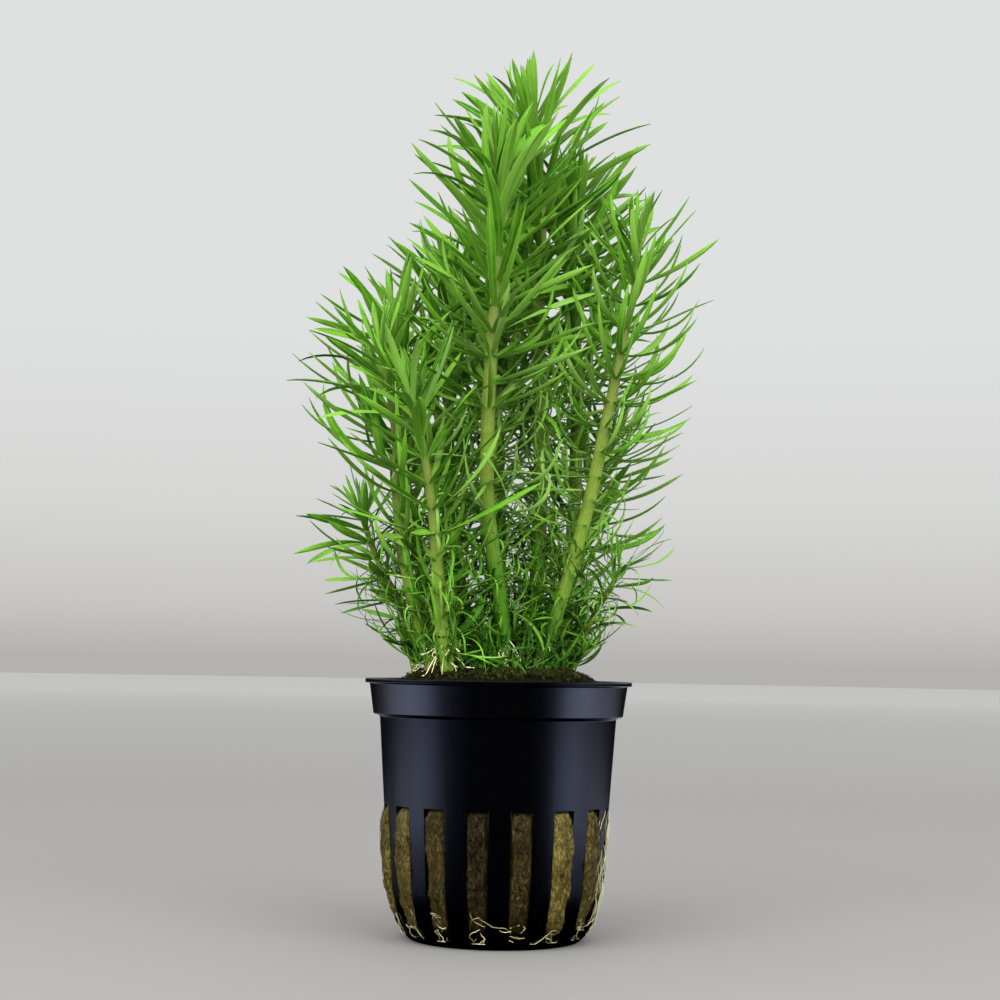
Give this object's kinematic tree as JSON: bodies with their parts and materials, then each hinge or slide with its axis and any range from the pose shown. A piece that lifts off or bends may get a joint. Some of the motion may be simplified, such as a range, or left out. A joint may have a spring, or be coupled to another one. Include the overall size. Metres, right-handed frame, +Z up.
{
  "type": "potted aquarium stem plant",
  "caption": "Bushy aquarium stem plant with whorls of narrow leaves on upright stems, rooted in mineral wool in a slotted black net pot.",
  "frame": {"origin": "centre of the pot's foot, on the surface it stands on", "axes": "+Z up along the pot's axis, -Y towards the front of the plant as pictured, +X to the right"},
  "size_m": [0.0911, 0.0795, 0.1887],
  "materials": {
    "pot_plastic": "moulded black polypropylene, satin",
    "mineral_wool": "matted olive-brown fibres",
    "leaf": "living green leaf and stem, waxy sheen"
  },
  "bodies": {
    "root": {"net_pot": "pot_plastic", "wool_plug": "mineral_wool", "shoot_centre": "leaf", "shoot_right": "leaf", "shoot_left_front": "leaf", "shoot_left_back": "leaf", "shoot_left_low": "leaf", "shoot_tall_back": "leaf", "shoot_right_back": "leaf", "shoot_left_mid": "leaf", "shoot_back_centre": "leaf", "shoot_back_left": "leaf", "shoot_back_right": "leaf", "shoot_right_low": "leaf"}
  },
  "joints": []
}
